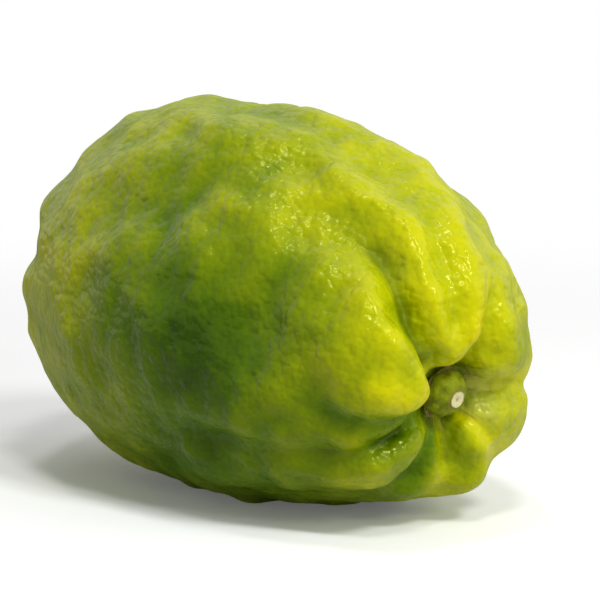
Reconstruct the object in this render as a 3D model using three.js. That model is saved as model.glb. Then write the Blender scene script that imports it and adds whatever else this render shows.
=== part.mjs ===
// A whole etrog, the fruit of the citron tree, lying on its side as it rests on a table.
//
// It has three pieces: the fruit, the dried calyx in the hollow at its stem end, and the cut stub of its
// stem. Millimetres. +Z is up and +X runs towards the stem end. The origin is on the surface that the fruit
// lies on, under the middle of the object's box.

import * as THREE from "three";
import { ImprovedNoise } from "three/addons/math/ImprovedNoise.js";

const { degToRad, smoothstep, lerp, euclideanModulo } = THREE.MathUtils;

// ---- The fruit's driving dimensions ----

// Half the fruit's outline, from the middle of the stem hollow over the shoulder and the belly to the tip of
// the nipple: each point is a place along the fruit's axis and the radius there.
const OUTLINE = [
  [47.0, 0],
  [47.0, 5.2],
  [48.3, 7.2],
  [51.0, 9.2],
  [52.5, 12.6],
  [51.9, 18.4],
  [48.0, 25.0],
  [35.4, 32.2],
  [14.2, 37.4],
  [-9.0, 38.4],
  [-30.3, 36.2],
  [-46.5, 28.6],
  [-55.6, 16.0],
  [-59.6, 7.2],
  [-61.6, 3.6],
  [-62.4, 0],
];
const WIDTH_SHARE = 0.94; // across the fruit, of the outline's radius
const ARCH = 0.1; // how much taller the fruit is above its axis, and how much flatter below it
const STEM_DROOP = 6.2; // how far the fruit's axis bends down at the stem shoulder
const TIP_DROOP = -6.0; // and at the tip, where it bends up
const LYING_PITCH = degToRad(1.8); // the stem end's dip, as the fruit lies
const PRESS = 1.4; // how far the rind is pressed flat where the fruit's weight rests

// The grooves between the fruit's ribs, which start round the stem hollow and fade along the fruit. Angles
// are round the axis in degrees, from the top towards +Y; a groove turns as it leaves the shoulder. Where it
// starts and ends is measured along the outline from the middle of the hollow. A crease is a groove that cuts
// into the hollow; a furrow is a wider one that starts farther out.
const CREASES = [
  { at: -50, turn: 22, depth: 5.4, width: 4.6, start: 7, end: 98 },
  { at: -18, turn: 14, depth: 3.2, width: 4.4, start: 12, end: 96 },
  { at: 17, turn: 6, depth: 2.8, width: 4.6, start: 6, end: 80 },
  { at: 82, turn: 24, depth: 1.8, width: 3.6, start: 6, end: 92 },
  { at: 133, turn: 8, depth: 1.0, width: 3.6, start: 7, end: 66 },
  { at: 170, turn: 2, depth: 2.5, width: 3.0, start: 5.5, end: 60 },
  { at: 202, turn: 6, depth: 3.5, width: 4.6, start: 7, end: 72 },
  { at: 246, turn: -3, depth: 4.0, width: 3.0, start: 8, end: 104 },
];
const FURROWS = [
  { at: 264, turn: -4, depth: 2.6, width: 3.8, start: 11, end: 72 },
  { at: 287, turn: 26, depth: 2.8, width: 7.4, start: 33, end: 132 },
  { at: 288, turn: 0, depth: 1.6, width: 6.4, start: 46, end: 120 },
];
const GROOVE_TURNED = [13, 44]; // along the outline: the grooves turn from the first distance to the second
const GROOVE_DEEPENS = 7; // along the outline, from a groove's start to its full depth
const GROOVE_OPENS = 50; // along the outline, where a groove has its full width
const GROOVE_PINCHED = 0.35; // its width at the hollow, of the full width
const GROOVE_ROUND = 0.3; // rounding at the bottom of a groove, of its width
const GROOVE_SHAPE = 1.4; // 1 is a sharp groove with long slopes, 2 is a round one

// The swellings of the rind: first the ribs' ends that bulge over the hollow and the shoulder, then the larger
// swellings and the one dimple of the belly. Each has its middle angle, which turns as the grooves do, half its
// width in degrees, the place of its middle along the outline, half its length, and its height, which is
// negative where the rind is drawn in.
const SWELLINGS = [
  { at: -76, turn: 24, spread: 22, middle: 29, length: 17, height: 3.1 },
  { at: -76, turn: 0, spread: 26, middle: 9, length: 6, height: -1.3 },
  { at: -12, turn: 12, spread: 26, middle: 11, length: 6, height: 1.4 },
  { at: 48, turn: 10, spread: 28, middle: 14, length: 8, height: 1.2 },
  { at: 134, turn: 0, spread: 38, middle: 19, length: 11, height: 4.2 },
  { at: 160, turn: 0, spread: 30, middle: 27, length: 12, height: -1.5 },
  { at: 212, turn: 0, spread: 40, middle: 18, length: 10, height: 1.2 },
  { at: 6, turn: 6, spread: 24, middle: 46, length: 24, height: 0.8 },
  { at: -22, turn: 0, spread: 18, middle: 90, length: 10, height: 0.9 },
  { at: -58, turn: 0, spread: 10, middle: 78, length: 12, height: 1.2 },
  { at: -20, turn: 0, spread: 6, middle: 62, length: 4, height: -1.2 },
];
const HOLLOW_SMOOTH = [5.4, 10]; // along the outline: the hollow's floor is smooth up to the first distance

// Lumps in the rind: each is a wavelength across the fruit, a height, and where in the noise it is read. They
// are longer along the fruit.
const LUMPS = [
  { length: 24, height: 2.6, shift: [0, 3.1, 0] },
  { length: 13, height: 1.8, shift: [7.3, 3.1, 5.7] },
  { length: 7.5, height: 0.9, shift: [14.6, 3.1, 11.4] },
];
const LUMP_STRETCH = 1.35;

const RINGS = 58; // of the fruit's mesh, from the hollow to the tip
const COLUMN_STEP = 5.3; // degrees between the mesh's columns, about
const STEM_CROWDING = 0.35; // how much closer together the rings lie at the stem end

// ---- The calyx's and the stem stub's driving dimensions ----

const GAP = 0.3; // between neighbouring pieces
const CALYX_RADIUS = 5.3;
const CALYX_LOBES = 5;
const CALYX_LOBE = 0.7; // how far the lobes' tips reach past the disc's mean radius
const CALYX_THICKNESS = 0.8;
const CALYX_BORE = 1.2; // radius of the hole where the stem passes
const CALYX_DISH = 0.55; // rise of the calyx's rim, for each millimetre outwards
const STUB_RADIUS = 4.4;
const STUB_FOOT = 1.4; // height of the stub's straight foot
const STUB_HEIGHT = 5.3;
const CUT_RADIUS = 1.9;
const CUT_RIM = 0.35; // how far the cut wood stands out of the stub's round shoulder

// ---- Materials ----

const rind = new THREE.MeshStandardMaterial({ color: 0xa9b414, roughness: 0.38, metalness: 0 });
const driedSepal = new THREE.MeshStandardMaterial({ color: 0x7d7a35, roughness: 0.75, metalness: 0 });
const greenStem = new THREE.MeshStandardMaterial({ color: 0x8a9a2a, roughness: 0.55, metalness: 0 });

// ---- The fruit ----

const outline = new THREE.SplineCurve(OUTLINE.map(([along, radius]) => new THREE.Vector2(along, radius)));
outline.arcLengthDivisions = 600;
const outlineLength = outline.getLength();
const noise = new ImprovedNoise();

/** The bent axis at a place along the straight one: its height, and its slope as an angle. */
function bentAxis(along) {
  const end = along > 0 ? OUTLINE[4][0] : OUTLINE[OUTLINE.length - 1][0];
  const drop = along > 0 ? STEM_DROOP : TIP_DROOP;
  return { height: -drop * (along / end) ** 2, slope: Math.atan((-2 * drop * along) / end ** 2) };
}

/** The difference between two angles round the axis, from -pi to pi. */
function angleBetween(round, other) {
  return Math.atan2(Math.sin(round - other), Math.cos(round - other));
}

/** The angle round the axis of a groove's bottom or a rib's top, at a distance along the outline. */
function turnedAngle({ at, turn }, distance) {
  return degToRad(at + turn * smoothstep(distance, ...GROOVE_TURNED));
}

/** How far the grooves pull the rind in, at a distance along the outline and an angle round the axis. */
function grooveDepth(distance, round, radius) {
  let total = 0;
  for (const groove of [...CREASES, ...FURROWS]) {
    const width = groove.width * lerp(GROOVE_PINCHED, 1, smoothstep(distance, 0, GROOVE_OPENS));
    const bottom = GROOVE_ROUND * width;
    const away = Math.hypot(radius * angleBetween(round, turnedAngle(groove, distance)), bottom) - bottom;
    const started = smoothstep(distance, groove.start, groove.start + GROOVE_DEEPENS);
    const left = 1 - smoothstep(distance, 0.1 * groove.end, groove.end);
    total += groove.depth * started * left * Math.exp(-((away / width) ** GROOVE_SHAPE));
  }
  return total;
}

/** How far the swellings push the rind out, at a distance along the outline and an angle round the axis. */
function swellingHeight(distance, round) {
  let total = 0;
  for (const swelling of SWELLINGS) {
    const along = (distance - swelling.middle) / swelling.length;
    const across = angleBetween(round, turnedAngle(swelling, distance)) / degToRad(swelling.spread);
    total += swelling.height * Math.exp(-(along ** 4) - across ** 4);
  }
  return total;
}

/** How far the lumps push the rind out at a point of the smooth fruit. */
function lumpHeight(along, across, up) {
  let total = 0;
  for (const { length, height, shift } of LUMPS) {
    const place = new THREE.Vector3(along / LUMP_STRETCH, across, up).divideScalar(length);
    place.add(new THREE.Vector3(...shift));
    total += height * noise.noise(place.x, place.y, place.z);
  }
  return total;
}

/** The point of the rind at a distance along the outline and an angle round the axis, on the unturned fruit. */
function rindPoint(distance, round) {
  const place = outline.getPointAt(distance / outlineLength);
  const heading = outline.getTangentAt(distance / outlineLength);
  const lumps = lumpHeight(place.x, place.y * Math.sin(round), place.y * Math.cos(round));
  const bulge = smoothstep(distance, ...HOLLOW_SMOOTH) * (lumps + swellingHeight(distance, round));
  const out = bulge - grooveDepth(distance, round, place.y);
  const along = place.x + out * heading.y;
  const radius = Math.max(0, place.y - out * heading.x);
  const across = radius * Math.sin(round) * WIDTH_SHARE;
  const up = radius * Math.cos(round) * (1 + ARCH * Math.cos(round));
  const { height, slope } = bentAxis(place.x);
  return new THREE.Vector3(along - up * Math.sin(slope), across, height + up * Math.cos(slope));
}

/** The angles round the axis of the mesh's columns, at a distance along the outline; each crease has one. */
function columnAngles(distance) {
  const angles = [];
  for (const [i, crease] of CREASES.entries()) {
    const next = CREASES[(i + 1) % CREASES.length];
    const steps = Math.round(euclideanModulo(next.at - crease.at, 360) / COLUMN_STEP);
    const from = turnedAngle(crease, distance);
    const span = euclideanModulo(turnedAngle(next, distance) - from, 2 * Math.PI);
    for (let step = 0; step < steps; step++) angles.push(from + (span * step) / steps);
  }
  return angles;
}

/** The fruit's points: the middle of the hollow, then ring after ring, then the tip. */
function fruitPoints() {
  const points = [rindPoint(0, 0)];
  for (let ring = 1; ring < RINGS; ring++) {
    const share = ring / RINGS;
    const distance = outlineLength * (share - (STEM_CROWDING * Math.sin(Math.PI * share)) / Math.PI);
    for (const round of columnAngles(distance)) points.push(rindPoint(distance, round));
  }
  points.push(rindPoint(outlineLength, 0));
  return points;
}

/** The triangles between the fruit's points, facing out. */
function fruitFaces(columns) {
  const faces = [];
  const tip = 1 + (RINGS - 1) * columns;
  for (let column = 0; column < columns; column++) {
    const next = (column + 1) % columns;
    faces.push(0, 1 + next, 1 + column);
    for (let ring = 0; ring < RINGS - 2; ring++) {
      const near = 1 + ring * columns;
      const far = near + columns;
      faces.push(near + column, near + next, far + next, near + column, far + next, far + column);
    }
    faces.push(tip, tip - columns + column, tip - columns + next);
  }
  return faces;
}

/** The whole fruit as it lies, with its rind pressed flat on the surface under it. */
function makeFruit(lying) {
  const points = fruitPoints().map((point) => point.applyMatrix4(lying));
  const floor = Math.min(...points.map((point) => point.z)) + PRESS;
  for (const point of points) point.z = Math.max(point.z, floor);
  const geometry = new THREE.BufferGeometry().setFromPoints(points);
  geometry.setIndex(fruitFaces((points.length - 2) / (RINGS - 1)));
  geometry.computeVertexNormals();
  const fruit = new THREE.Mesh(geometry, rind);
  fruit.name = "fruit";
  return { fruit, floor };
}

// ---- The pieces in the stem hollow, which stand on its floor with +Z away from the fruit ----

/** The dried calyx: a thin dished ring of five short lobes round the stem. */
function makeCalyx() {
  const top = GAP + CALYX_THICKNESS;
  const profile = [
    [CALYX_BORE, GAP],
    [STUB_RADIUS, GAP],
    [CALYX_RADIUS - 0.4, GAP],
    [CALYX_RADIUS, GAP + 0.3 * CALYX_THICKNESS],
    [CALYX_RADIUS - 0.5, top],
    [STUB_RADIUS, top],
    [CALYX_BORE, top],
    [CALYX_BORE, GAP],
  ].map(([radius, height]) => new THREE.Vector2(radius, height));
  const geometry = new THREE.LatheGeometry(profile, 12 * CALYX_LOBES).rotateX(Math.PI / 2);
  const points = geometry.getAttribute("position");
  for (let i = 0; i < points.count; i++) {
    const radius = Math.hypot(points.getX(i), points.getY(i));
    const turn = Math.atan2(points.getY(i), points.getX(i));
    const outside = Math.max(0, (radius - STUB_RADIUS) / (CALYX_RADIUS - STUB_RADIUS));
    const lobe = 1 - 2 * Math.abs(Math.sin((CALYX_LOBES * turn) / 2));
    const grown = radius + outside * CALYX_LOBE * lobe;
    points.setX(i, (points.getX(i) * grown) / radius);
    points.setY(i, (points.getY(i) * grown) / radius);
    points.setZ(i, points.getZ(i) + CALYX_DISH * Math.max(0, grown - STUB_RADIUS));
  }
  const calyx = new THREE.Mesh(geometry, driedSepal);
  calyx.name = "calyx";
  return calyx;
}

/** The cut stub of the stem: a swollen round foot with the disc of the cut on top. */
function makeStub() {
  const base = 2 * GAP + CALYX_THICKNESS;
  const spring = base + STUB_FOOT;
  const steps = 7;
  const last = Math.acos(CUT_RADIUS / STUB_RADIUS);
  const profile = [new THREE.Vector2(0, base), new THREE.Vector2(STUB_RADIUS - 0.4, base)];
  for (let i = 0; i <= steps; i++) {
    const turn = (i / steps) * last;
    const rise = ((STUB_HEIGHT - spring) * Math.sin(turn)) / Math.sin(last);
    profile.push(new THREE.Vector2(STUB_RADIUS * Math.cos(turn), spring + rise));
  }
  profile.push(new THREE.Vector2(CUT_RADIUS, STUB_HEIGHT + CUT_RIM));
  profile.push(new THREE.Vector2(0, STUB_HEIGHT + CUT_RIM));
  const geometry = new THREE.LatheGeometry(profile, 28).rotateX(Math.PI / 2);
  const stub = new THREE.Mesh(geometry, greenStem);
  stub.name = "stem_stub";
  return stub;
}

// ---- Assembly ----

const lying = new THREE.Matrix4().makeRotationY(LYING_PITCH);
const { fruit, floor } = makeFruit(lying);

const stemEnd = new THREE.Group();
stemEnd.add(makeCalyx(), makeStub());
stemEnd.position.copy(rindPoint(0, 0).applyMatrix4(lying));
stemEnd.rotation.y = Math.PI / 2 + LYING_PITCH - bentAxis(OUTLINE[0][0]).slope;

const etrog = new THREE.Group();
etrog.add(fruit, stemEnd);
const middle = new THREE.Box3().setFromObject(etrog, true).getCenter(new THREE.Vector3());
etrog.position.set(-middle.x, -middle.y, -floor);

export default etrog;
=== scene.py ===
"""A whole etrog, the fruit of the citron tree, lying on its side on a pale floor.

The visible pieces are the ribbed and pored rind, the dried calyx in the hollow at the stem end, the green
button of the stem, its pale cut, and the dry scar at the tip. Everything is in metres, in the frame of the
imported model: +Z is up, +X runs towards the stem end, and the fruit rests on z = 0.
"""

import logging
import math
from dataclasses import dataclass, field
from enum import Enum
from typing import Iterable, Mapping, Sequence, Union

import bmesh
import bpy
from mathutils import Matrix, Vector, noise


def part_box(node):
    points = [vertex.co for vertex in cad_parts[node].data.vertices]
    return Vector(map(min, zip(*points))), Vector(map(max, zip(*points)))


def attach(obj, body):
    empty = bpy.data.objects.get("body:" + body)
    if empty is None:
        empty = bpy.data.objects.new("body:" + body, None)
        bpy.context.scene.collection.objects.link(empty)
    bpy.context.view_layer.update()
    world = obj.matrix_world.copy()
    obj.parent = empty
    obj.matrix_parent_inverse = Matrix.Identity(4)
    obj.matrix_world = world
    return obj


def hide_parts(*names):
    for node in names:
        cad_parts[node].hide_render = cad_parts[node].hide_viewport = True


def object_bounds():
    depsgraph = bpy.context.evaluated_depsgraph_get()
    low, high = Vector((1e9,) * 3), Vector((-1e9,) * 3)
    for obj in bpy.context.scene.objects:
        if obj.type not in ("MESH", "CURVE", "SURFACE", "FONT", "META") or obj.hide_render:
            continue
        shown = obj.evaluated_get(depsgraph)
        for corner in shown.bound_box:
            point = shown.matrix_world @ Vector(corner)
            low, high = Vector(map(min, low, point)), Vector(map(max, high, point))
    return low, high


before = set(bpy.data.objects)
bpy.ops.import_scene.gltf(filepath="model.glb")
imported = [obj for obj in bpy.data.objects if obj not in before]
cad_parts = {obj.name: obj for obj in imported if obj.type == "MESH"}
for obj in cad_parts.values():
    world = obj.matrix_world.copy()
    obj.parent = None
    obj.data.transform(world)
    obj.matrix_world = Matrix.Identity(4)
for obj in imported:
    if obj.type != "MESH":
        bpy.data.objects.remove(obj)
CAD_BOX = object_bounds()
BODY = "root"
MM = 0.001
MERGE = 1e-6
AXIS_CLEAR = 0.1
UP = Vector((0, 0, 1))
TIPWARDS = Vector((-1, 0, 0))
WHITE = (1.0, 1.0, 1.0, 1.0)

log = logging.getLogger("etrog")

Number = Union[float, "Wire"]
Colour = tuple[float, float, float, float]
Span = tuple[float, float]
Spot = tuple[float, float]


class Slot(Enum):
    """The record's material slots."""

    RIND = "rind"
    CALYX = "calyx"
    STEM = "stem"


class Node(Enum):
    """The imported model's nodes."""

    FRUIT = "fruit"
    CALYX = "calyx"
    STUB = "stem_stub"


class Ray(Enum):
    """The kinds of ray that see the surroundings as white."""

    CAMERA = "Is Camera Ray"
    GLOSSY = "Is Glossy Ray"
    TRANSMISSION = "Is Transmission Ray"


class Mixing(Enum):
    """How one colour lies over another."""

    COVER = "MIX"
    STAIN = "MULTIPLY"


# ---- Numbers ----


def smoothstep(low: float, high: float, value: float) -> float:
    """An even ramp from 0 at low to 1 at high, with soft ends.

    Args:
        low: where the ramp starts.
        high: where it ends; it may lie below low.
        value: where the ramp is read.

    Returns:
        The ramp's height, from 0 to 1.
    """
    share = min(1.0, max(0.0, (value - low) / (high - low)))
    return share * share * (3 - 2 * share)


def angle_between(one: float, other: float) -> float:
    """The difference between two angles, from -pi to pi."""
    return math.atan2(math.sin(one - other), math.cos(one - other))


def colour(written: str) -> Colour:
    """A colour as a shader wants it.

    Args:
        written: the colour as six hexadecimal digits, as a display shows it.

    Returns:
        Its linear red, green, blue and alpha, by the display's standard curve.
    """
    parts = [int(written[i : i + 2], 16) / 255 for i in (0, 2, 4)]
    red, green, blue = (p / 12.92 if p <= 0.04045 else ((p + 0.055) / 1.055) ** 2.4 for p in parts)
    return red, green, blue, 1.0


@dataclass(frozen=True)
class Grain:
    """A random variation.

    The size is how wide its patches are, in millimetres. The amount is how much it adds: millimetres in a
    relief, and a share in a colour or a proportion.
    """

    size: float
    amount: float

    def at(self, place: Vector) -> float:
        """What it adds at a place that is given in metres."""
        return self.amount * noise.noise(place / (self.size * MM))


# ---- Meshes ----


def merged(node: Node) -> bmesh.types.BMesh:
    """A copy of a node's mesh with its loose triangles joined at their points.

    Args:
        node: the node.

    Returns:
        A new bmesh, which the caller frees.
    """
    bm = bmesh.new()
    bm.from_mesh(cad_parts[node.value].data)
    bmesh.ops.remove_doubles(bm, verts=bm.verts, dist=MERGE)
    return bm


def points_of(node: Node) -> list[Vector]:
    """Reads a node's merged points.

    Args:
        node: the node.

    Returns:
        Their places, in metres.
    """
    bm = merged(node)
    places = [vert.co.copy() for vert in bm.verts]
    bm.free()
    return places


def mean(places: Sequence[Vector]) -> Vector:
    """The middle of several places."""
    return sum(places, Vector()) / len(places)


def to_mesh(bm: bmesh.types.BMesh) -> bpy.types.Mesh:
    """Turns a bmesh into a mesh.

    Args:
        bm: the bmesh, which is freed.

    Returns:
        The mesh.
    """
    mesh = bpy.data.meshes.new("mesh")
    bm.to_mesh(mesh)
    bm.free()
    return mesh


def spun(outline: Iterable[Spot], steps: int) -> bmesh.types.BMesh:
    """A round closed body about its own Z.

    Args:
        outline: the radius and height of each point of its outline, in millimetres, from foot to top.
        steps: how many sides it has.

    Returns:
        A new bmesh, in metres, with its faces outwards.
    """
    bm = bmesh.new()
    verts = [bm.verts.new((radius * MM, 0, height * MM)) for radius, height in outline]
    edges = [bm.edges.new(pair) for pair in zip(verts, verts[1:])]
    bmesh.ops.spin(
        bm,
        geom=verts + edges,
        cent=(0, 0, 0),
        axis=(0, 0, 1),
        angle=2 * math.pi,
        steps=steps,
        use_merge=True,
    )
    bmesh.ops.remove_doubles(bm, verts=bm.verts, dist=MERGE)
    bmesh.ops.recalc_face_normals(bm, faces=bm.faces)
    return bm


def off_axis(bm: bmesh.types.BMesh) -> list[tuple[bmesh.types.BMVert, float, float]]:
    """Finds the points of a spun body that don't lie on its axis.

    Args:
        bm: the body.

    Returns:
        Each such point, its distance from the axis in millimetres, and its angle round the axis.
    """
    spots = [(vert, math.hypot(vert.co.x, vert.co.y) / MM) for vert in bm.verts]
    clear = [(vert, radius) for vert, radius in spots if radius >= AXIS_CLEAR]
    return [(vert, radius, math.atan2(vert.co.y, vert.co.x)) for vert, radius in clear]


def widen(vert: bmesh.types.BMVert, times: float) -> None:
    """Moves a point of a spun body out from the axis, to so many times its distance."""
    vert.co.x *= times
    vert.co.y *= times


def subdivided(mesh: bpy.types.Mesh, levels: int) -> bpy.types.Mesh:
    """A mesh smoothed and made finer by subdivision.

    Args:
        mesh: the mesh, which is used up.
        levels: how many times each face is quartered.

    Returns:
        The fine mesh.
    """
    holder = bpy.data.objects.new("fine", mesh)
    bpy.context.scene.collection.objects.link(holder)
    rounding = holder.modifiers.new("rounding", "SUBSURF")
    rounding.levels = rounding.render_levels = levels
    depsgraph = bpy.context.evaluated_depsgraph_get()
    fine = bpy.data.meshes.new_from_object(holder.evaluated_get(depsgraph))
    bpy.data.objects.remove(holder)
    bpy.data.meshes.remove(mesh)
    return fine


@dataclass(frozen=True)
class Stand:
    """A small frame of its own on the fruit: an origin and three axes, with +Z away from the rind."""

    origin: Vector
    axes: Matrix

    @classmethod
    def facing(cls, origin: Vector, outward: Vector) -> "Stand":
        """A frame at a place, with its +X as near to straight up as can be.

        Args:
            origin: the frame's origin, in metres.
            outward: which way its +Z points.

        Returns:
            The frame.
        """
        z = outward.normalized()
        y = z.cross(UP).normalized()
        return cls(origin, Matrix((y.cross(z), y, z)).transposed())

    @classmethod
    def stem_hollow(cls) -> "Stand":
        """The frame on the hollow's floor, which the calyx and the stem's button stand on.

        Returns:
            The frame.
        """
        calyx = points_of(Node.CALYX)
        middle = mean(calyx)
        outward = (mean(points_of(Node.STUB)) - middle).normalized()
        lowest = min((place - middle).dot(outward) for place in calyx)
        return cls.facing(middle + outward * lowest, outward)

    def rounded(self, bm: bmesh.types.BMesh) -> bpy.types.Mesh:
        """Moves a body from the model's origin to this frame, and rounds it by one subdivision.

        Args:
            bm: the body, which is used up.

        Returns:
            Its mesh, in the model's frame.
        """
        matrix = Matrix.Translation(self.origin) @ self.axes.to_4x4()
        bmesh.ops.transform(bm, matrix=matrix, verts=bm.verts)
        return subdivided(to_mesh(bm), 1)


def add_piece(name: str, mesh: bpy.types.Mesh, material: bpy.types.Material) -> bpy.types.Object:
    """Puts a mesh in the scene as a piece that rides on the root body.

    Args:
        name: the piece's name.
        mesh: its mesh, in metres and in the model's frame.
        material: its only material.

    Returns:
        The piece.
    """
    mesh.name = name
    mesh.materials.clear()
    mesh.materials.append(material)
    mesh.shade_smooth()
    piece = bpy.data.objects.new(name, mesh)
    bpy.context.scene.collection.objects.link(piece)
    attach(piece, BODY)
    return piece


# ---- Shader expressions ----


class Wire:
    """A socket's value in a shader, which Python's operators turn into Math nodes."""

    def __init__(self, shader: "Shader", socket: bpy.types.NodeSocket | None) -> None:
        """Wraps a socket of a shader, or nothing for a node that has no output."""
        self.shader = shader
        self.socket = socket

    def __add__(self, other: Number) -> "Wire":
        """The sum."""
        return self.shader.math("ADD", self, other)

    def __radd__(self, other: Number) -> "Wire":
        """The sum, with the number first."""
        return self.shader.math("ADD", other, self)

    def __sub__(self, other: Number) -> "Wire":
        """The difference."""
        return self.shader.math("SUBTRACT", self, other)

    def __rsub__(self, other: Number) -> "Wire":
        """The difference, with the number first."""
        return self.shader.math("SUBTRACT", other, self)

    def __mul__(self, other: Number) -> "Wire":
        """The product."""
        return self.shader.math("MULTIPLY", self, other)

    def __rmul__(self, other: Number) -> "Wire":
        """The product, with the number first."""
        return self.shader.math("MULTIPLY", other, self)

    def __truediv__(self, other: Number) -> "Wire":
        """The quotient."""
        return self.shader.math("DIVIDE", self, other)

    def __rtruediv__(self, other: Number) -> "Wire":
        """The quotient, with the number first."""
        return self.shader.math("DIVIDE", other, self)

    def __pow__(self, other: Number) -> "Wire":
        """The power."""
        return self.shader.math("POWER", self, other)

    def clipped(self) -> "Wire":
        """The value held between 0 and 1."""
        return self.shader.math("MINIMUM", self.shader.math("MAXIMUM", self, 0.0), 1.0)

    def ramp(self, low: float, high: float) -> "Wire":
        """A soft ramp of the value.

        Args:
            low: the value that gives 0.
            high: the value that gives 1; it may be the smaller.

        Returns:
            The ramp, from 0 to 1.
        """
        share = ((self - low) / (high - low)).clipped()
        return share * share * (3.0 - 2.0 * share)


def reach(*parts: Wire) -> Wire:
    """How far a point is from the middle, by Pythagoras.

    Args:
        parts: how far it is in each direction.

    Returns:
        The distance.
    """
    first, *rest = (part * part for part in parts)
    return sum(rest, first) ** 0.5


class Shader:
    """The nodes of a material or of the world, made one at a time and joined as they are made."""

    def __init__(self, owner: bpy.types.Material | bpy.types.World) -> None:
        """Starts with no nodes.

        Args:
            owner: the new material or world that the nodes are for.
        """
        owner.use_nodes = True
        self.owner = owner
        self.tree = owner.node_tree
        self.tree.nodes.clear()

    def node(
        self,
        kind: str,
        settings: Mapping[str, object] | None = None,
        inputs: Mapping[str | int, object] | None = None,
        output: str | None = None,
    ) -> Wire:
        """Adds a node.

        Args:
            kind: the node's type.
            settings: its properties, which are set first. A ramp's stops are a list of place and colour.
            inputs: the number, colour, vector or Wire for each socket, by the socket's name or its number.
            output: the name of the output to hand back, or None for the first.

        Returns:
            That output.
        """
        made = self.tree.nodes.new(kind)
        for name, value in (settings or {}).items():
            if name == "stops":
                self.set_stops(made.color_ramp, value)
            else:
                setattr(made, name, value)
        for key, value in (inputs or {}).items():
            self.feed(self.socket_of(made, key), value)
        shown = [socket for socket in made.outputs if socket.enabled and output in (None, socket.name)]
        return Wire(self, shown[0] if shown else None)

    @staticmethod
    def socket_of(made: bpy.types.Node, key: str | int) -> bpy.types.NodeSocket:
        """Finds an input of a node.

        Args:
            made: the node.
            key: the input's number, or its name, which means the first shown one where several share it.

        Returns:
            The input.
        """
        if isinstance(key, int):
            return made.inputs[key]
        return next(socket for socket in made.inputs if socket.enabled and socket.name == key)

    def feed(self, socket: bpy.types.NodeSocket, value: object) -> None:
        """Gives a socket its value.

        Args:
            socket: the socket.
            value: the Wire that is joined to it, or the number, colour or vector that it is set to.
        """
        if isinstance(value, Wire):
            self.tree.links.new(value.socket, socket)
        else:
            socket.default_value = value

    @staticmethod
    def set_stops(ramp: bpy.types.ColorRamp, stops: Sequence[tuple[float, Colour]]) -> None:
        """Gives a colour ramp its stops.

        Args:
            ramp: the ramp, as new.
            stops: the place and the colour of each stop, in order.
        """
        while len(ramp.elements) < len(stops):
            ramp.elements.new(1.0)
        for element, (place, shade) in zip(ramp.elements, stops):
            element.position = place
            element.color = shade

    def math(self, operation: str, one: Number, other: Number) -> Wire:
        """Adds a Math node for two values."""
        return self.node("ShaderNodeMath", {"operation": operation}, {0: one, 1: other})

    def place(self, stand: Stand | None = None) -> Wire:
        """The point that is shaded, in millimetres.

        Args:
            stand: the frame that it is given in, or None for the model's own.

        Returns:
            The point.
        """
        stand = stand or Stand(Vector(), Matrix.Identity(3))
        return self.node(
            "ShaderNodeMapping",
            {"vector_type": "TEXTURE"},
            {
                "Vector": self.node("ShaderNodeTexCoord", output="Object"),
                "Location": stand.origin,
                "Rotation": stand.axes.to_euler(),
                "Scale": (MM, MM, MM),
            },
        )

    def parts(self, vector: Wire) -> tuple[Wire, Wire, Wire]:
        """Takes a vector apart.

        Args:
            vector: the vector.

        Returns:
            Its three numbers.
        """
        first = self.node("ShaderNodeSeparateXYZ", None, {"Vector": vector})
        return tuple(Wire(self, socket) for socket in first.socket.node.outputs)

    def vector(self, x: Number, y: Number, z: Number) -> Wire:
        """A vector from three numbers."""
        return self.node("ShaderNodeCombineXYZ", None, {"X": x, "Y": y, "Z": z})

    def seen_by(self, ray: Ray) -> Wire:
        """A number that is 1 for one kind of ray and 0 for the others."""
        return self.node("ShaderNodeLightPath", output=ray.value)

    def cloud(self, point: Wire, size: float, detail: float = 2.0, sway: float = 0.0) -> Wire:
        """Soft random patches.

        Args:
            point: where they are read, in millimetres.
            size: how wide the patches are, in millimetres.
            detail: how many finer layers are added.
            sway: how far the patches are drawn out of shape.

        Returns:
            Their value, about 0.5 in the middle.
        """
        settings = {"noise_dimensions": "3D"}
        inputs = {"Vector": point, "Scale": 1 / size, "Detail": detail, "Distortion": sway}
        return self.node("ShaderNodeTexNoise", settings, inputs, "Fac")

    def streaks(self, x: Wire, y: Wire, away: Wire, count: float, change: float) -> Wire:
        """Random streaks that run straight out from a middle.

        Args:
            x: how far the point is from the middle in one direction.
            y: how far it is in the other.
            away: how far it is from the middle.
            count: how finely the streaks are spread round the middle.
            change: how quickly they change on their way out, for each unit of away.

        Returns:
            Their value, about 0.5 in the middle.
        """
        return self.cloud(self.vector(x / away * count, y / away * count, away * change), 1.0)

    def cells(self, point: Wire, spacing: float, soft: float = 0.0) -> Wire:
        """The distance from the nearest of many scattered points, in shares of their spacing.

        Args:
            point: where it is read, in millimetres.
            spacing: how far apart the scattered points are, in millimetres.
            soft: how far neighbouring cells run together, from 0 to 1.

        Returns:
            The distance.
        """
        settings = {"feature": "SMOOTH_F1" if soft else "F1"}
        inputs = {"Vector": point, "Scale": 1 / spacing, "Randomness": 0.9}
        if soft:
            inputs["Smoothness"] = soft
        return self.node("ShaderNodeTexVoronoi", settings, inputs, "Distance")

    def painted(self, name: str) -> Wire:
        """A number that the piece's mesh holds for each of its points."""
        return self.node("ShaderNodeAttribute", {"attribute_name": name}, None, "Fac")

    def blend(self, share: Number, under: object, over: object, how: Mixing = Mixing.COVER) -> Wire:
        """Lays one colour over another.

        Args:
            share: how much of it shows, from 0 to 1.
            under: the colour below.
            over: the colour on top.
            how: the way they mix.

        Returns:
            The mixed colour.
        """
        settings = {"data_type": "RGBA", "blend_type": how.value, "clamp_factor": True}
        return self.node("ShaderNodeMix", settings, {"Factor": share, "A": under, "B": over}, "Result")

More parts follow.
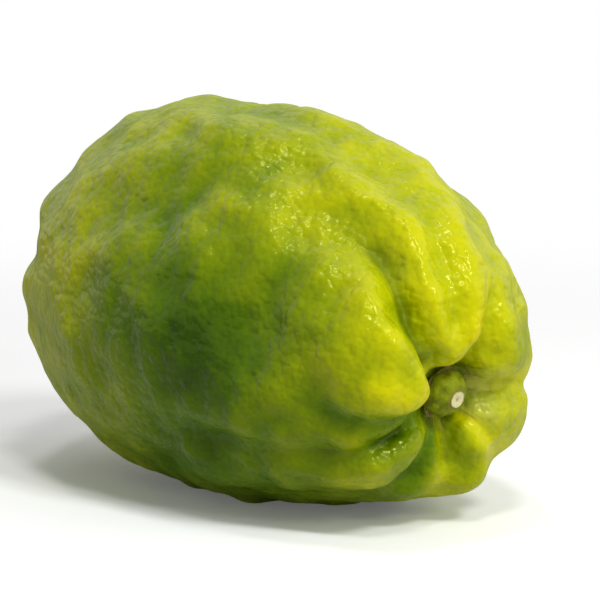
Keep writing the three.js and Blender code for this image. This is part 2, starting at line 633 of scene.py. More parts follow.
    def ladder(self, value: Wire, stops: Sequence[tuple[float, Colour]]) -> Wire:
        """Turns a number into a colour by a ramp's stops."""
        return self.node("ShaderNodeValToRGB", {"stops": stops}, {"Fac": value}, "Color")

    def relief(self, height: Wire) -> Wire:
        """A normal bent by a relief whose height is in millimetres."""
        return self.node("ShaderNodeBump", None, {"Strength": 1.0, "Distance": MM, "Height": height})

    def finish(self, sockets: Mapping[str, object]) -> bpy.types.Material:
        """Ends the material in a Principled surface.

        Args:
            sockets: what each of the surface's sockets gets.

        Returns:
            The material.
        """
        surface = self.node("ShaderNodeBsdfPrincipled", None, sockets)
        self.node("ShaderNodeOutputMaterial", None, {"Surface": surface})
        return self.owner


# ---- The rind ----


@dataclass(frozen=True)
class Pits:
    """Small dents scattered over the rind.

    The spacing and the depth are in millimetres. The rim and the floor are where a dent's slope starts and
    ends, in shares of the spacing from its middle. Soft is how far neighbours run together, from 0 to 1.
    """

    spacing: float
    depth: float
    rim: float
    floor: float
    soft: float

    def sunk(self, shader: Shader, point: Wire) -> Wire:
        """How far the rind is sunk, from 0 at a dent's rim to 1 on its floor."""
        return shader.cells(point, self.spacing, self.soft).ramp(self.rim, self.floor)


@dataclass(frozen=True)
class HollowMarks:
    """The marks in the stem hollow: pale bare skin on one side, and brown streaks out from the calyx.

    The rings are millimetres from the stem's axis and the depth is millimetres along it, each from where the
    mark starts to where it is full. The bare side is the same for the sine of the angle round the stem, and
    the edges of the patches and streaks are the same for their random values. The bare skin shows least
    between its patches.
    """

    stand: Stand
    depth: Span = (-30.0, -20.0)
    bare: str = "DCD870"
    bare_share: float = 0.4
    bare_ring: Span = (14.0, 9.0)
    bare_side: Span = (-0.65, -0.95)
    bare_least: float = 0.4
    patch: float = 3.0
    patch_edge: Span = (0.35, 0.6)
    streak: str = "6E5A22"
    streak_share: float = 0.8
    streak_ring: Span = (9.5, 5.5)
    streak_count: float = 7.0
    streak_change: float = 0.16
    streak_edge: Span = (0.50, 0.64)

    def lay(self, shader: Shader, base: Wire) -> Wire:
        """Lays the marks on the rind.

        Args:
            shader: the rind's nodes.
            base: the colour below.

        Returns:
            The colour with the marks.
        """
        point = shader.place(self.stand)
        x, y, z = shader.parts(point)
        away = reach(x, y)
        near = z.ramp(*self.depth)
        bare = near * away.ramp(*self.bare_ring) * (y / away).ramp(*self.bare_side)
        patch = shader.cloud(point, self.patch).ramp(*self.patch_edge)
        bare = bare * (self.bare_least + (1 - self.bare_least) * patch)
        base = shader.blend(self.bare_share * bare, base, colour(self.bare))
        streaks = shader.streaks(x, y, away, self.streak_count, self.streak_change)
        streaks = near * streaks.ramp(*self.streak_edge) * away.ramp(*self.streak_ring)
        return shader.blend(self.streak_share * streaks, base, colour(self.streak))


@dataclass(frozen=True)
class TipMarks:
    """The dry ring round the scar at the tip, whose edge and raggedness are in millimetres."""

    stand: Stand
    dry: str = "6B4A22"
    share: float = 0.85
    edge: Span = (3.6, 2.2)
    ragged: Grain = Grain(1.4, 1.6)

    def lay(self, shader: Shader, base: Wire) -> Wire:
        """Lays the ring on the rind.

        Args:
            shader: the rind's nodes.
            base: the colour below.

        Returns:
            The colour with the ring.
        """
        point = shader.place(self.stand)
        ragged = self.ragged.amount * (shader.cloud(point, self.ragged.size) - 0.5)
        ring = (reach(*shader.parts(point)) + ragged).ramp(*self.edge)
        return shader.blend(self.share * ring, base, colour(self.dry))


@dataclass(frozen=True)
class RindFinish:
    """Waxy pored citrus rind that ripens from green to yellow.

    The mesh's points hold how ripe the rind is, with painted light and painted shade among its patches, and
    how far it lies in a groove, where the colour is darkened as painted shade. The relief is soft swellings
    with pebbles on them, and the dents of pores and oil glands. The wax is duller in patches, in the grooves
    and where the rind turns away from sight.
    """

    marks: tuple[HollowMarks | TipMarks, ...]
    ladder: tuple[tuple[float, str], ...] = (
        (0.0, "2C4E04"),
        (0.22, "507200"),
        (0.42, "7A9000"),
        (0.60, "A3AE00"),
        (0.78, "C6C800"),
        (0.92, "D5CF00"),
        (1.0, "DAC904"),
    )
    groove_shade_tint: str = "5A7A10"
    groove_shade_share: float = 0.6
    gleam: str = "FFFF9C"
    mottle: Grain = Grain(6.5, 0.26)
    speck: Grain = Grain(0.9, 0.14)
    pore_green: float = 0.02
    swelling: Grain = Grain(2.6, 0.48)
    pebble: Grain = Grain(1.7, 0.27)
    pebble_soft: float = 0.35
    pore: Pits = Pits(1.2, 0.03, 0.55, 0.05, 0.2)
    gland: Pits = Pits(2.7, 0.06, 0.42, 0.06, 0.25)
    rough: float = 0.135
    rough_patches: float = 0.10
    rough_groove: float = 0.18
    rough_edge: float = 0.5

    def material(self) -> bpy.types.Material:
        """Makes the rind's material.

        Returns:
            The material.
        """
        shader = Shader(bpy.data.materials.new("rind_waxy"))
        point = shader.place()
        groove = shader.painted("groove")
        mottle = shader.cloud(point, self.mottle.size, 3.0, 0.4)
        speck = shader.cloud(point, self.speck.size)
        pore = self.pore.sunk(shader, point)
        gland = self.gland.sunk(shader, point)
        ripe = shader.painted("ripe") + self.mottle.amount * (mottle - 0.5)
        ripe = ripe + self.speck.amount * (speck - 0.5) - self.pore_green * pore
        base = shader.ladder(ripe.clipped(), [(at, colour(shade)) for at, shade in self.ladder])
        # Painted shade: the grooves are darkened by multiplying in a dull green.
        base = shader.blend(self.groove_shade_share * groove, base, colour(self.groove_shade_tint), Mixing.STAIN)
        for marks in self.marks:
            base = marks.lay(shader, base)
        swelling = shader.cloud(point, self.swelling.size, 1.0)
        pebble = shader.cells(point, self.pebble.size, self.pebble_soft)
        height = self.swelling.amount * swelling - self.pebble.amount * pebble * pebble
        height = height - self.pore.depth * pore - self.gland.depth * gland
        edge = shader.node("ShaderNodeLayerWeight", None, {"Blend": 0.5}, "Facing")
        rough = self.rough + self.rough_patches * mottle + self.rough_groove * groove
        return shader.finish(
            {
                "Base Color": base,
                "Roughness": (rough + self.rough_edge * edge**3).clipped(),
                "IOR": 1.45,
                "Specular IOR Level": 0.30,
                "Specular Tint": colour(self.gleam),
                "Normal": shader.relief(height),
            }
        )


@dataclass(frozen=True)
class ToneAndShadingPatch:
    """A patch of the rind that is riper or greener than the rest.

    Its place is millimetres along the fruit, and degrees round it from the top towards +Y. Its reach is in
    millimetres. Some patches are the rind's own yellow and green, and some are painted light and
    painted shade.
    """

    along: float
    turn: float
    reach: float
    ripe: float

    def at(self, along: float, turn: float, radius: float) -> float:
        """What the patch adds to the ripeness at a place.

        Args:
            along: the place along the fruit, in millimetres.
            turn: its angle round the fruit, in radians.
            radius: half the fruit's thickness, in millimetres.

        Returns:
            The ripeness that it adds.
        """
        across = radius * angle_between(turn, math.radians(self.turn))
        share = math.hypot(along - self.along, across) / self.reach
        return self.ripe * math.exp(-(share**2))


@dataclass
class Rind:
    """The fruit's skin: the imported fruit's shape made fine, with sharper grooves and small bumps.

    Lengths are in millimetres. The bumps fade out over the calm span round the hollow. A groove is counted
    from its first depth and is full at its second. What stands out by the rib height or more is riper by
    rib_ripe, and a bump is riper by bump_ripe for each millimetre. The tip is where the style stood, in
    metres, and is known once the rind is sculpted.
    """

    hollow: Stand
    levels: int = 2
    sharpen: float = 0.8
    crease_rounds: int = 30
    relief_rounds: int = 22
    bumps: tuple[Grain, ...] = (Grain(7.0, 0.75), Grain(3.6, 0.38))
    calm: Span = (6.0, 11.0)
    groove: Span = (0.3, 2.6)
    groove_crease: float = 2.0
    dent_reach: float = 3.6
    dent_depth: float = 0.9
    axis_share: float = 0.440
    ripe: float = 0.47
    drift: tuple[Grain, ...] = (Grain(19.0, 0.10), Grain(8.0, 0.07))
    rib_height: float = 2.0
    rib_ripe: float = 0.10
    bump_ripe: float = 0.15
    # Partly the rind's own yellow and green, partly painted light and shade, as marked below.
    patches: tuple[ToneAndShadingPatch, ...] = (
        ToneAndShadingPatch(57, -2, 32, 0.25),
        ToneAndShadingPatch(58, -74, 9, 0.26),
        ToneAndShadingPatch(40, -69, 10, -0.04),
        ToneAndShadingPatch(46, -64, 8, -0.12),
        ToneAndShadingPatch(36, -50, 7, -0.10),
        ToneAndShadingPatch(27, -41, 7, -0.10),
        ToneAndShadingPatch(14, -30, 10, 0.05),
        ToneAndShadingPatch(30, -32, 7, 0.20),
        # Partly a painted sheen on the nose's crest.
        ToneAndShadingPatch(56, -56, 7, 0.11),
        ToneAndShadingPatch(0, -34, 13, -0.08),
        # Painted shade: the dark flank and belly.
        ToneAndShadingPatch(14, -80, 23, -0.50),
        ToneAndShadingPatch(27, -69, 6, 0.10),
        ToneAndShadingPatch(48, -97, 7, -0.26),
        ToneAndShadingPatch(28, -100, 10, -0.10),
        ToneAndShadingPatch(49, -121, 8, -0.16),
        ToneAndShadingPatch(15, -131, 13, -0.22),
        # Painted light: the lobes below the stem, which the lamps light little.
        ToneAndShadingPatch(48, 176, 7, 0.26),
        ToneAndShadingPatch(53, 134, 10, 0.32),
        ToneAndShadingPatch(46, -168, 8, -0.24),
        ToneAndShadingPatch(54, 112, 13, 0.10),
        # Partly painted light: lightens the groove to the right of the stem's button.
        ToneAndShadingPatch(53, 84, 8, 0.24),
        ToneAndShadingPatch(-8, -140, 24, -0.14),
        ToneAndShadingPatch(-58, 0, 12, 0.22),
        ToneAndShadingPatch(-20, 110, 30, 0.10),
    )
    tip: Vector = field(default_factory=Vector)

    def cage(self) -> bpy.types.Mesh:
        """Makes the coarse mesh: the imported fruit's, with its triangles joined in pairs.

        Returns:
            The mesh, whose points hold how far they stand out as "relief".
        """
        bm = merged(Node.FRUIT)
        bmesh.ops.join_triangles(
            bm,
            faces=bm.faces,
            angle_face_threshold=math.radians(60),
            angle_shape_threshold=math.radians(75),
            topology_influence=1.2,
        )
        self.measure(bm, "relief", self.relief_rounds)
        log.info("cage: %d faces, %d points", len(bm.faces), len(bm.verts))
        return to_mesh(bm)

    @staticmethod
    def measure(bm: bmesh.types.BMesh, name: str, rounds: int) -> None:
        """Writes how far each point stands out of the surface around it, in millimetres.

        Args:
            bm: the surface, which gets the numbers as a layer of its points and keeps its shape.
            name: the layer's name.
            rounds: how often the surface is smoothed for the comparison; more look farther around.
        """
        bm.normal_update()
        places = [vert.co.copy() for vert in bm.verts]
        normals = [vert.normal.copy() for vert in bm.verts]
        for _ in range(rounds):
            bmesh.ops.smooth_vert(
                bm, verts=bm.verts, factor=0.5, use_axis_x=True, use_axis_y=True, use_axis_z=True
            )
        layer = bm.verts.layers.float.new(name)
        for vert, place, normal in zip(bm.verts, places, normals):
            vert[layer] = (place - vert.co).dot(normal) / MM
            vert.co = place

    def bump(self, place: Vector) -> float:
        """The height of the small bumps at a place.

        Args:
            place: the place on the rind, in metres.

        Returns:
            The height, in metres.
        """
        away = (place - self.hollow.origin).length / MM
        total = sum(bumps.at(place) for bumps in self.bumps)
        return total * MM * smoothstep(*self.calm, away)

    def axis_height(self, along: float) -> float:
        """The height of the fruit's bent axis.

        Args:
            along: where along the fruit it is read, in metres.

        Returns:
            The height, in metres.
        """
        middle = self.axis_share * CAD_BOX[1].z
        end = self.hollow.origin if along > 0 else self.tip
        return middle + (end.z - middle) * (along / end.x) ** 2

    def ripeness(self, place: Vector, relief: float, bump: float) -> float:
        """How ripe the rind is at a place.

        Args:
            place: the place on the rind, in metres.
            relief: how far it stands out of the rind around it, in millimetres.
            bump: the height of the small bumps there, in metres.

        Returns:
            The ripeness, with the patches' painted light and shade in it, from about 0 for dark green
            to 1 for golden.
        """
        turn = math.atan2(place.y, place.z - self.axis_height(place.x))
        radius = 0.5 * CAD_BOX[1].z / MM
        total = self.ripe + sum(drift.at(place) for drift in self.drift)
        # The patches add the rind's own colour, and painted light and shade.
        total += sum(patch.at(place.x / MM, turn, radius) for patch in self.patches)
        total += self.rib_ripe * max(-1.0, min(1.0, relief / self.rib_height))
        return total + self.bump_ripe * bump / MM

    def sculpt(self, mesh: bpy.types.Mesh) -> bpy.types.Mesh:
        """Sharpens the grooves, adds the bumps, and paints how ripe and how deep the rind is.

        Args:
            mesh: the fine mesh, which is used up.

        Returns:
            The finished mesh.
        """
        bm = bmesh.new()
        bm.from_mesh(mesh)
        bpy.data.meshes.remove(mesh)
        self.measure(bm, "crease", self.crease_rounds)
        self.tip = min(bm.verts, key=lambda vert: vert.co.x).co.copy()
        layers = bm.verts.layers.float
        crease, relief = layers["crease"], layers["relief"]
        groove, ripe = layers.new("groove"), layers.new("ripe")
        moves = []
        for vert in bm.verts:
            bump = self.bump(vert.co)
            vert[groove] = smoothstep(*self.groove, -vert[relief] - self.groove_crease * vert[crease])
            vert[ripe] = self.ripeness(vert.co, vert[relief], bump)
            moves.append(vert.normal * (self.sharpen * vert[crease] * MM + bump))
        for vert, move in zip(bm.verts, moves):
            vert.co += move
        layers.remove(layers["crease"])
        layers.remove(layers["relief"])
        self.dent_tip(bm)
        self.fit(bm)
        return to_mesh(bm)

    def dent_tip(self, bm: bmesh.types.BMesh) -> None:
        """Sinks a small dent where the style stood.

        Args:
            bm: the rind, which is changed.
        """
        dent_reach, dent_depth = self.dent_reach * MM, self.dent_depth * MM
        for vert in bm.verts:
            away = (vert.co - self.tip).length
            if away < dent_reach:
                vert.co.x += dent_depth * smoothstep(dent_reach, 0, away)
        self.tip.x += dent_depth

    @staticmethod
    def fit(bm: bmesh.types.BMesh) -> None:
        """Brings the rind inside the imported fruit's box, where the floor presses flat what hangs below it.

        Args:
            bm: the rind, which is changed.
        """
        low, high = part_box(Node.FRUIT.value)
        for axis in range(3):
            least = low.z if axis == 2 else min(vert.co[axis] for vert in bm.verts)
            most = max(vert.co[axis] for vert in bm.verts)
            for vert in bm.verts:
                share = (vert.co[axis] - least) / (most - least)
                vert.co[axis] = low[axis] + max(0.0, share) * (high[axis] - low[axis])

    def build(self) -> bpy.types.Object:
        """Makes the rind.

        Returns:
            The piece.
        """
        mesh = self.sculpt(subdivided(self.cage(), self.levels))
        marks = (HollowMarks(self.hollow), TipMarks(Stand.facing(self.tip, TIPWARDS)))
        piece = add_piece("rind", mesh, RindFinish(marks).material())
        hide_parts(Node.FRUIT.value)
        return piece


# ---- The calyx ----


@dataclass(frozen=True)
class SepalFinish:
    """Dried sepals, grown to the rind: green that turns brown outwards, with pale fibres that run out."""

    stand: Stand
    green: str = "7C8426"
    brown: str = "6B5420"
    pale: str = "A59A52"
    pale_share: float = 0.6
    brown_ring: Span = (3.6, 5.8)
    brown_share: float = 0.7
    brown_patches: float = 0.9
    patch: Grain = Grain(1.6, 0.2)
    fibre_count: float = 16.0
    fibre_change: float = 0.3
    fibre_height: float = 0.35
    rough: float = 0.7
    rough_patches: float = 0.15

    def material(self) -> bpy.types.Material:
        """Makes the sepals' material.

        Returns:
            The material.
        """
        shader = Shader(bpy.data.materials.new("sepals_dried"))
        point = shader.place(self.stand)
        x, y, _ = shader.parts(point)
        away = reach(x, y)
        fibre = shader.streaks(x, y, away, self.fibre_count, self.fibre_change)
        patch = shader.cloud(point, self.patch.size, 3.0)
        dried = self.brown_share * away.ramp(*self.brown_ring) + self.brown_patches * (patch - 0.5)
        base = shader.blend(dried.clipped(), colour(self.green), colour(self.brown))
        base = shader.blend(self.pale_share * fibre.ramp(0.5, 0.7), base, colour(self.pale))
        height = self.fibre_height * (fibre - 0.5) + self.patch.amount * (patch - 0.5)
        return shader.finish(
            {
                "Base Color": base,
                "Roughness": self.rough + self.rough_patches * (patch - 0.5),
                "Specular IOR Level": 0.35,
                "Normal": shader.relief(height),
            }
        )


@dataclass
class Calyx:
    """The five sepals' remains, a thin dished star under the stem's button.

    Lengths are in millimetres, on its own stand. The radius is the round rim's, before the lobes grow it, and
    the lobes start at the inner radius. The star dishes up outside dish_from. The scales say how quickly the
    ragged edge, the waves and the wrinkles' sway change round the rim.
    """

    stand: Stand
    radius: float = 5.3
    inner: float = 2.6
    level: float = 3.0
    lobes: int = 5
    lobe: float = 0.7
    lobe_point: float = 1.3
    ragged: float = 0.28
    ragged_in: float = 0.4
    ragged_scale: float = 2.6
    dish: float = 0.55
    dish_from: float = 4.1
    thickness: float = 0.75
    sunk: float = 0.45
    wrinkles: int = 38
    wrinkle: float = 0.09
    wrinkle_sway: float = 2.5
    wave: float = 0.22
    wave_scale: float = 1.7
    rim_scale: float = 2.4
    steps: int = 160

    def outline(self) -> list[Spot]:
        """The outline of the round dish, before it has lobes.

        Returns:
            The radius and height of each of its points, from foot to top.
        """
        under = [(0, -self.sunk), (self.level, -self.sunk), (self.radius - 0.7, -0.3)]
        rim = [(self.radius - 0.1, 0.05), (self.radius, 0.3), (self.radius - 0.35, 0.55)]
        top = [(self.radius - 0.9, self.thickness), (self.level, self.thickness), (0, self.thickness)]
        return under + rim + top

    def shape(self, vert: bmesh.types.BMVert, radius: float, turn: float) -> None:
        """Moves a point of the round dish out to the lobes' ragged edge.

        Args:
            vert: the point, which is moved.
            radius: its distance from the axis, in millimetres.
            turn: its angle round the axis.
        """
        outside = smoothstep(self.inner, self.radius, radius)
        rim = self.rim_scale * Vector((math.cos(turn), math.sin(turn), 0.3))
        lobe = self.lobe * (1 - 2 * abs(math.sin(self.lobes * turn / 2)) ** self.lobe_point)
        ragged = self.ragged * (noise.noise(rim * self.ragged_scale) - self.ragged_in)
        grown = radius + outside * (lobe + ragged)
        sway = self.wrinkle_sway * noise.noise(rim)
        wrinkle = self.wrinkle * math.sin(self.wrinkles * turn + sway)
        wave = self.wave * noise.noise(rim * self.wave_scale)
        rise = self.dish * max(0.0, grown - self.dish_from) + outside * (wrinkle + wave)
        widen(vert, grown / radius)
        vert.co.z += rise * MM

    def build(self) -> bpy.types.Object:
        """Makes the calyx.

        Returns:
            The piece.
        """
        bm = spun(self.outline(), self.steps)
        for vert, radius, turn in off_axis(bm):
            self.shape(vert, radius, turn)
        mesh = self.stand.rounded(bm)
        piece = add_piece("calyx_star", mesh, SepalFinish(self.stand).material())
        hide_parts(Node.CALYX.value)
        return piece


# ---- The stem's button ----


@dataclass(frozen=True)
class ButtonFinish:
    """The green skin of the stem's foot, corky at its foot and its top, with corky specks.

    The foot and the top are heights in millimetres, from where the cork starts to where it is full.
    """

    stand: Stand
    green: str = "8C980C"
    dark: str = "5C6A0A"
    cork: str = "8A7834"
    gleam: str = "FFFF9C"
    patch: float = 2.2
    cork_foot: Span = (2.4, 1.2)
    cork_top: Span = (4.6, 5.0)
    cork_share: float = 0.7
    speck: Grain = Grain(0.8, 0.05)
    speck_share: float = 0.35
    grain: Grain = Grain(0.9, 0.18)
    rough: float = 0.48
    rough_patches: float = 0.2

    def material(self) -> bpy.types.Material:
        """Makes the button's material.

        Returns:
            The material.
        """
        shader = Shader(bpy.data.materials.new("button_green"))
        point = shader.place(self.stand)
        _, _, height = shader.parts(point)
        patch = shader.cloud(point, self.patch, 3.0)
        speck = shader.cells(point, self.speck.size).ramp(0.3, 0.1)
        grain = shader.cloud(point, self.grain.size, 3.0)
        base = shader.blend(patch.ramp(0.35, 0.7), colour(self.green), colour(self.dark))
        corky = (height.ramp(*self.cork_foot) + height.ramp(*self.cork_top)) * patch.ramp(0.3, 0.6)
        corky = self.cork_share * corky + self.speck_share * speck
        base = shader.blend(corky.clipped(), base, colour(self.cork))
        relief = self.grain.amount * (grain - 0.5) - self.speck.amount * speck
        return shader.finish(
            {
                "Base Color": base,
                "Roughness": self.rough + self.rough_patches * (patch - 0.5),
                "Specular IOR Level": 0.3,
                "Specular Tint": colour(self.gleam),
                "Normal": shader.relief(relief),
            }
        )


@dataclass(frozen=True)
class CutFinish:
    """Dry cut wood: a pale disc with a darker pith and bark, and rays between them.

    The pith and the bark are shares of the cut's radius, from where they start to where they are full.
    """

    stand: Stand
    radius: float
    wood: str = "E3DDA6"
    bark: str = "8F8A3E"
    pith: str = "C3AE6C"
    pith_edge: Span = (0.26, 0.12)
    bark_edge: Span = (0.8, 1.0)
    bark_ragged: float = 0.3
    grain: Grain = Grain(0.45, 0.12)
    ray_count: float = 5.0
    ray_change: float = 0.4
    ray_share: float = 0.4
    ray_height: float = 0.1
    rough: float = 0.72
    rough_grain: float = 0.15

    def material(self) -> bpy.types.Material:
        """Makes the cut's material.

        Returns:
            The material.
        """
        shader = Shader(bpy.data.materials.new("cut_wood"))
        point = shader.place(self.stand)
        x, y, _ = shader.parts(point)
        away = reach(x, y) / self.radius
        ray = shader.streaks(x, y, away, self.ray_count, self.ray_change)
        grain = shader.cloud(point, self.grain.size)
        bark = (away + self.bark_ragged * (grain - 0.5)).ramp(*self.bark_edge)
        base = shader.blend(away.ramp(*self.pith_edge), colour(self.wood), colour(self.pith))
        base = shader.blend(bark, base, colour(self.bark))
        base = shader.blend(self.ray_share * ray.ramp(0.55, 0.75), base, colour(self.pith))
        relief = self.grain.amount * (grain - 0.5) + self.ray_height * (ray - 0.5)
        return shader.finish(
            {
                "Base Color": base,
                "Roughness": self.rough + self.rough_grain * (grain - 0.5),
                "Normal": shader.relief(relief),
            }
        )


@dataclass
class Button:
    """The swollen foot of the stem and its cut. Lengths are in millimetres, on its own stand."""

    stand: Stand
    radius: float = 4.7
    foot: float = 1.4
    shoulder: float = 1.9
    height: float = 4.9
    start: float = 0.2
    ribs: int = 9
    rib: float = 0.10
    rib_sway: Grain = Grain(3.0, 2.0)
    rib_from: Span = (1.2, 2.6)
    dents: Grain = Grain(1.7, 0.16)
    cut_gap: float = 0.12
    cut_rise: float = 0.35
    cut_dents: Grain = Grain(0.7, 0.09)
    arc_steps: int = 9
    steps: int = 72

    def foot_outline(self) -> list[Spot]:
        """The outline of the foot: a flared start, an arc that bulges in to the shoulder, and a flat top.

        Returns:
            The radius and height of each of its points, from foot to top.
        """
        last = math.acos(self.shoulder / self.radius)
        outline = [(0, self.start), (self.radius - 0.7, self.start), (self.radius - 0.15, 0.6)]
        for step in range(self.arc_steps + 1):
            turn = last * step / self.arc_steps
            rise = (self.height - self.foot) * math.sin(turn) / math.sin(last)
            outline.append((self.radius * math.cos(turn), self.foot + rise))
        return outline + [(self.shoulder - 0.25, self.height + 0.1), (0, self.height)]

    def shape(self, vert: bmesh.types.BMVert, radius: float, turn: float) -> None:
        """Gives a point of the round foot its share of the ribs and dents.

        Args:
            vert: the point, which is moved.
            radius: its distance from the axis, in millimetres.
            turn: its angle round the axis.
        """
        rib = self.rib * math.cos(self.ribs * turn + self.rib_sway.at(vert.co))
        grown = radius + smoothstep(*self.rib_from, radius) * (rib + self.dents.at(vert.co))
        widen(vert, grown / radius)

    def build_foot(self) -> bpy.types.Object:
        """Makes the green foot.

        Returns:
            The piece.
        """
        bm = spun(self.foot_outline(), self.steps)
        for vert, radius, turn in off_axis(bm):
            self.shape(vert, radius, turn)
        mesh = self.stand.rounded(bm)
        piece = add_piece("stem_button", mesh, ButtonFinish(self.stand).material())
        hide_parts(Node.STUB.value)
        return piece

    def build_cut(self) -> bpy.types.Object:
        """Makes the pale cut: a low disc with a rounded rim and a sunken middle.

        Returns:
            The piece.
        """
        rim = self.shoulder - self.cut_gap
        low, top = self.height, self.height + self.cut_rise
        outline = [(0, low - 0.3), (rim - 0.1, low - 0.3), (rim, low - 0.1), (rim, top - 0.12)]
        outline += [(rim - 0.12, top), (rim - 0.4, top - 0.02), (0.75, top - 0.1), (0.35, top - 0.2)]
        bm = spun(outline + [(0, top - 0.22)], self.steps)
        for vert in bm.verts:
            vert.co.z += MM * self.cut_dents.at(vert.co)
        mesh = self.stand.rounded(bm)
        return add_piece("stem_cut", mesh, CutFinish(self.stand, rim).material())

    def build(self) -> list[bpy.types.Object]:
        """Makes the foot and the cut."""
        return [self.build_foot(), self.build_cut()]


# ---- The scar at the tip ----


@dataclass(frozen=True)
class ScarFinish:
    """Dry brown tissue, with paler grains."""

    stand: Stand
    brown: str = "5A3D1C"
    pale: str = "9A7B45"
    grain: Grain = Grain(0.5, 0.25)
    rough: float = 0.8
    rough_grain: float = 0.1

    def material(self) -> bpy.types.Material:
        """Makes the scar's material.

        Returns:
            The material.
        """
        shader = Shader(bpy.data.materials.new("scar_dry"))
        grain = shader.cloud(shader.place(self.stand), self.grain.size, 3.0)
        base = shader.blend(grain.ramp(0.35, 0.7), colour(self.brown), colour(self.pale))
        return shader.finish(
            {
                "Base Color": base,
                "Roughness": self.rough + self.rough_grain * (grain - 0.5),
                "Normal": shader.relief(self.grain.amount * (grain - 0.5)),
            }
        )


@dataclass
class StyleScar:
    """The dry scar that the fallen style left in the dent at the tip, a low cup.

    Lengths are in millimetres, on its own stand.
    """

    stand: Stand
    radius: float = 1.5
    rise: float = 0.55
    sunk: float = 0.5
    uneven: Grain = Grain(0.8, 0.16)
    steps: int = 48

    def build(self) -> bpy.types.Object:
        """Makes the scar.

        Returns:
            The piece.
        """
        radius, rise = self.radius, self.rise
        outline = [(0, -self.sunk), (radius - 0.1, -self.sunk), (radius, -0.1), (radius - 0.15, 0.2)]
        outline += [(radius - 0.45, rise), (0.55, rise - 0.05), (0.3, 0.25), (0, 0.2)]
        bm = spun(outline, self.steps)
        for vert in bm.verts:
            widen(vert, 1 + self.uneven.at(vert.co))
        mesh = self.stand.rounded(bm)
        return add_piece("style_scar", mesh, ScarFinish(self.stand).material())


# ---- The studio ----


@dataclass(frozen=True)
class Lamp:
    """A soft square lamp that looks at the fruit.

    From the fruit's middle, the side is how far it stands to the camera's right, the height is how far above,
    and the front is how far towards the camera, all in metres. The level is how bright it makes a white card
    that faces it.
    """

    name: str
    side: float
    height: float
    front: float
    size: float
    level: float


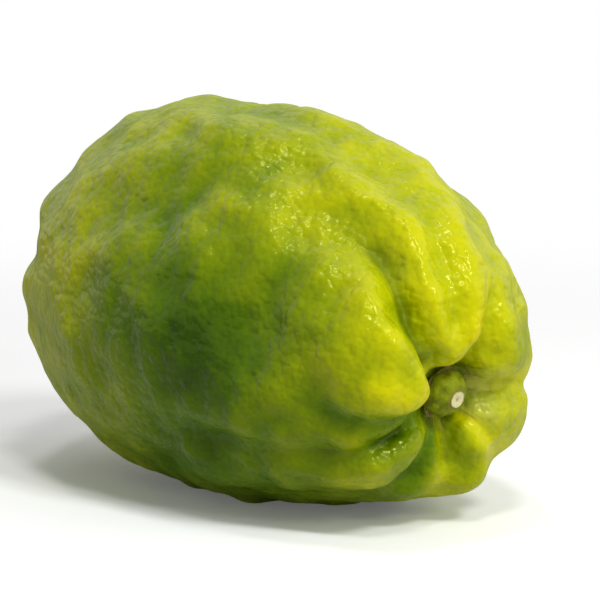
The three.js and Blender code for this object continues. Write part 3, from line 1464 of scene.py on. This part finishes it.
@dataclass
class Studio:
    """The camera, the lamps, the pale floor and the white surroundings.

    Angles are in degrees and lengths in metres, apart from the floor's fade, which is in millimetres. The
    surroundings, floor_seen and floor_bounced are brightnesses: of the light all round, of the floor that the
    camera sees, and of the floor that lights the fruit. The floor's glow is the least share of glowing white
    that the camera sees on the floor, a painted light that lightens the fruit's shadow near it.
    """

    azimuth: float = 47.5
    elevation: float = 10.5
    distance: float = 0.9
    sensor: float = 36.0
    view_width: float = 0.120
    shift: tuple[float, float] = (0.058, -0.003)
    surroundings: float = 0.20
    floor_size: float = 6.0
    floor_seen: float = 1.25
    floor_bounced: float = 0.75
    floor_glow: float = 0.10
    floor_fade: Span = (110.0, 320.0)
    lamps: tuple[Lamp, ...] = (
        Lamp("lamp_above", 0.12, 0.66, -0.20, 0.80, 0.16),
        Lamp("lamp_front", 0.06, 0.68, 0.42, 0.12, 0.20),
        Lamp("lamp_front_right", 0.32, 0.56, 0.46, 0.15, 0.36),
        Lamp("lamp_top", -0.08, 0.78, 0.10, 0.11, 0.12),
        Lamp("lamp_right", 0.75, 0.25, 0.20, 0.50, 0.15),
        Lamp("lamp_low", 0.40, 0.34, 0.60, 0.12, 0.10),
    )

    def middle(self) -> Vector:
        """The middle of the object's box."""
        return (CAD_BOX[0] + CAD_BOX[1]) / 2

    def directions(self) -> tuple[Vector, Vector]:
        """Works out the camera's level directions.

        Returns:
            The direction to its right, and the one from the fruit towards it.
        """
        turn = math.radians(self.azimuth)
        right = Vector((math.cos(turn), math.sin(turn), 0))
        front = Vector((math.sin(turn), -math.cos(turn), 0))
        return right, front

    def stand_off(self, thing: bpy.types.Object, offset: Vector) -> None:
        """Puts a camera or a lamp in the scene, looking at the fruit's middle.

        Args:
            thing: the camera or the lamp.
            offset: where it stands from the fruit's middle, in metres.
        """
        bpy.context.scene.collection.objects.link(thing)
        thing.location = self.middle() + offset
        thing.rotation_mode = "QUATERNION"
        thing.rotation_quaternion = (-offset).to_track_quat("-Z", "Y")

    def build_camera(self) -> None:
        """Makes the camera and hands it to the scene."""
        data = bpy.data.cameras.new("camera")
        data.sensor_width = self.sensor
        data.lens = self.sensor * self.distance / self.view_width
        data.shift_x, data.shift_y = self.shift
        data.clip_start, data.clip_end = 0.05, 50.0
        camera = bpy.data.objects.new("camera", data)
        _, front = self.directions()
        rise = math.radians(self.elevation)
        self.stand_off(camera, (front * math.cos(rise) + UP * math.sin(rise)) * self.distance)
        bpy.context.scene.camera = camera

    def build_lamp(self, lamp: Lamp) -> None:
        """Makes one lamp, with the power that its level asks for at its distance.

        Args:
            lamp: where it is, how big and how bright.
        """
        right, front = self.directions()
        offset = right * lamp.side + front * lamp.front + UP * lamp.height
        data = bpy.data.lights.new(lamp.name, "AREA")
        data.shape = "SQUARE"
        data.size = lamp.size
        data.energy = lamp.level * (math.pi * offset.length) ** 2
        self.stand_off(bpy.data.objects.new(lamp.name, data), offset)

    def build_world(self) -> None:
        """Makes the even grey light all round, which the camera and reflections see as white."""
        world = bpy.data.worlds.new("surroundings")
        shader = Shader(world)
        seen = shader.seen_by(Ray.CAMERA)
        for ray in (Ray.GLOSSY, Ray.TRANSMISSION):
            seen = shader.math("MAXIMUM", seen, shader.seen_by(ray))
        strength = self.surroundings + (1 - self.surroundings) * seen
        light = shader.node("ShaderNodeBackground", None, {"Color": WHITE, "Strength": strength})
        shader.node("ShaderNodeOutputWorld", None, {"Surface": light})
        bpy.context.scene.world = world

    def floor_material(self) -> bpy.types.Material:
        """Makes a matt white floor, seen by the camera through white glow that grows away from the fruit.

        Returns:
            The material.
        """
        shader = Shader(bpy.data.materials.new("floor_white"))
        x, y, _ = shader.parts(shader.place())
        camera = shader.seen_by(Ray.CAMERA)
        level = self.floor_bounced + (self.floor_seen - self.floor_bounced) * camera
        card = shader.node("ShaderNodeBsdfDiffuse", None, {"Color": shader.vector(level, level, level)})
        white = shader.node("ShaderNodeEmission", None, {"Color": WHITE, "Strength": 1.0})
        # Painted light: a little glowing white over the floor near the fruit lightens its shadow; farther
        # away the floor turns all white.
        glow = self.floor_glow + (1 - self.floor_glow) * reach(x, y).ramp(*self.floor_fade)
        mixed = shader.node("ShaderNodeMixShader", None, {0: glow * camera, 1: card, 2: white})
        shader.node("ShaderNodeOutputMaterial", None, {"Surface": mixed})
        return shader.owner

    def build_floor(self) -> None:
        """Makes the floor, just under the fruit."""
        bm = bmesh.new()
        bmesh.ops.create_grid(bm, x_segments=1, y_segments=1, size=self.floor_size / 2)
        mesh = to_mesh(bm)
        mesh.materials.append(self.floor_material())
        floor = bpy.data.objects.new("floor", mesh)
        bpy.context.scene.collection.objects.link(floor)

    def build(self) -> None:
        """Makes the whole studio."""
        bpy.context.scene.view_settings.view_transform = "Standard"
        self.build_camera()
        self.build_world()
        for lamp in self.lamps:
            self.build_lamp(lamp)
        self.build_floor()


# ---- Assembly ----


def main() -> None:
    """Builds every piece and the studio, and reports them."""
    logging.basicConfig(level=logging.INFO, format="%(name)s: %(message)s")
    hollow = Stand.stem_hollow()
    Studio().build()
    rind = Rind(hollow)
    pieces = [rind.build(), Calyx(hollow).build(), *Button(hollow).build()]
    pieces.append(StyleScar(Stand.facing(rind.tip, TIPWARDS)).build())
    for piece in pieces:
        log.info("%s: %d faces", piece.name, len(piece.data.polygons))


if __name__ == "__main__":
    main()
